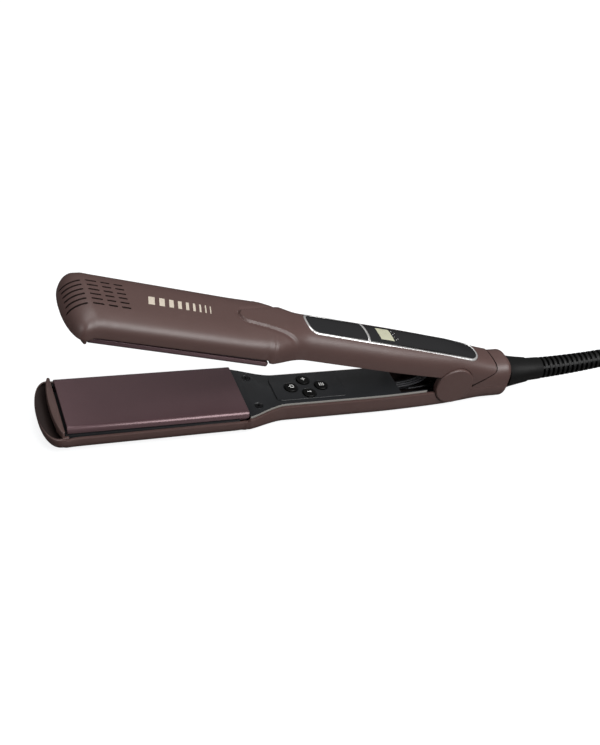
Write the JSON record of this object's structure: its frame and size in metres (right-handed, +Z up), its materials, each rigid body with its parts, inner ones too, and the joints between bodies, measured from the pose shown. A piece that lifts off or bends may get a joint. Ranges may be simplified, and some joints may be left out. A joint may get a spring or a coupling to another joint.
{
  "type": "flat iron",
  "caption": "Wide-plate hair straightener: two hinged arms with floating heated plates, display grip, control pad and swivel cord.",
  "frame": {"origin": "on the flat resting strip under the lower arm, half way between the nose tip and the hinge axis, at mid width", "axes": "+X along the lower arm towards the cord, +Y across the arm, +Z up from the resting face"},
  "size_m": [0.4003, 0.0498, 0.0871],
  "materials": {
    "housing": "soft-touch matte plum brown",
    "plate": "satin ceramic coating, plum",
    "black_plastic": "fine matte",
    "cord_rubber": "satin",
    "silver_trim": "satin chrome",
    "gloss_black": "polished",
    "display": "backlit liquid crystal window",
    "ceramic": "fired",
    "steel": "brushed",
    "black_steel": "blackened",
    "circuit_board": "solder mask",
    "brass": "plain",
    "silicone": "matte",
    "wire_sleeve": "matte"
  },
  "bodies": {
    "lower_arm": {"lower_housing": "housing", "collar_cover": "housing", "lower_inner_cover": "black_plastic", "lower_nose_strip": "housing", "lower_plate_tray": "black_plastic", "lower_float_pads": "silicone", "lower_cover_screws": "black_steel", "lower_heater_wires": "wire_sleeve", "control_pad": "black_plastic", "button_membrane": "silicone", "tact_switches": "black_plastic", "control_board": "circuit_board", "control_board_screws": "steel", "hinge_pin": "steel", "hinge_cap_left": "housing", "hinge_cap_right": "housing", "opening_spring": "steel", "hinge_wires": "wire_sleeve", "supply_wires": "wire_sleeve", "brush_contacts": "brass"},
    "lower_plate_unit": {"lower_plate": "plate", "lower_heater": "ceramic", "lower_heater_clip": "steel", "lower_thermal_fuse": "steel"},
    "upper_arm": {"upper_housing": "housing", "upper_inner_cover": "black_plastic", "upper_nose_strip": "housing", "upper_plate_tray": "black_plastic", "upper_float_pads": "silicone", "upper_cover_screws": "black_steel", "upper_heater_wires": "wire_sleeve", "hinge_bushes": "brass", "bezel_trim": "silver_trim", "front_panel": "gloss_black", "display_panel": "gloss_black", "lcd_window": "display", "lcd_module": "ceramic", "main_board": "circuit_board", "main_board_screws": "steel"},
    "upper_plate_unit": {"upper_plate": "plate", "upper_heater": "ceramic", "upper_heater_clip": "steel", "upper_thermal_fuse": "steel"},
    "power_button": {"power_button": "black_plastic"},
    "plus_button": {"plus_button": "black_plastic"},
    "minus_button": {"minus_button": "black_plastic"},
    "mode_button": {"mode_button": "black_plastic"},
    "cord_swivel": {"strain_relief": "cord_rubber", "power_cord": "cord_rubber", "swivel_rings": "brass"}
  },
  "joints": [
    {"name": "arm_hinge", "type": "hinge", "parent": "lower_arm", "child": "upper_arm", "pos_m": [0.12, 0, 0.0164], "axis": [0, 1, 0], "range_deg": [-13.6, 0], "stiffness_Nm_per_rad": 0.8, "springref_deg": 17.19, "deforming": ["opening_spring", "hinge_wires"]},
    {"name": "lower_plate_float", "type": "slide", "parent": "lower_arm", "child": "lower_plate_unit", "axis": [0, 0, -1], "range_m": [0, 0.0008], "stiffness_N_per_m": 4000, "springref_m": -0.001, "deforming": ["lower_float_pads"]},
    {"name": "upper_plate_float", "type": "slide", "parent": "upper_arm", "child": "upper_plate_unit", "axis": [0.2351, 0, 0.972], "range_m": [0, 0.0008], "stiffness_N_per_m": 4000, "springref_m": -0.001, "deforming": ["upper_float_pads"]},
    {"name": "power_button_press", "type": "slide", "parent": "lower_arm", "child": "power_button", "axis": [0, 0, -1], "range_m": [0, 0.0006], "stiffness_N_per_m": 150, "springref_m": -0.0006},
    {"name": "plus_button_press", "type": "slide", "parent": "lower_arm", "child": "plus_button", "axis": [0, 0, -1], "range_m": [0, 0.0006], "stiffness_N_per_m": 150, "springref_m": -0.0006},
    {"name": "minus_button_press", "type": "slide", "parent": "lower_arm", "child": "minus_button", "axis": [0, 0, -1], "range_m": [0, 0.0006], "stiffness_N_per_m": 150, "springref_m": -0.0006},
    {"name": "mode_button_press", "type": "slide", "parent": "lower_arm", "child": "mode_button", "axis": [0, 0, -1], "range_m": [0, 0.0006], "stiffness_N_per_m": 150, "springref_m": -0.0006},
    {"name": "cord_spin", "type": "hinge", "parent": "lower_arm", "child": "cord_swivel", "pos_m": [0.1592, 0, 0.0135], "axis": [1, 0, 0], "continuous": true}
  ]
}
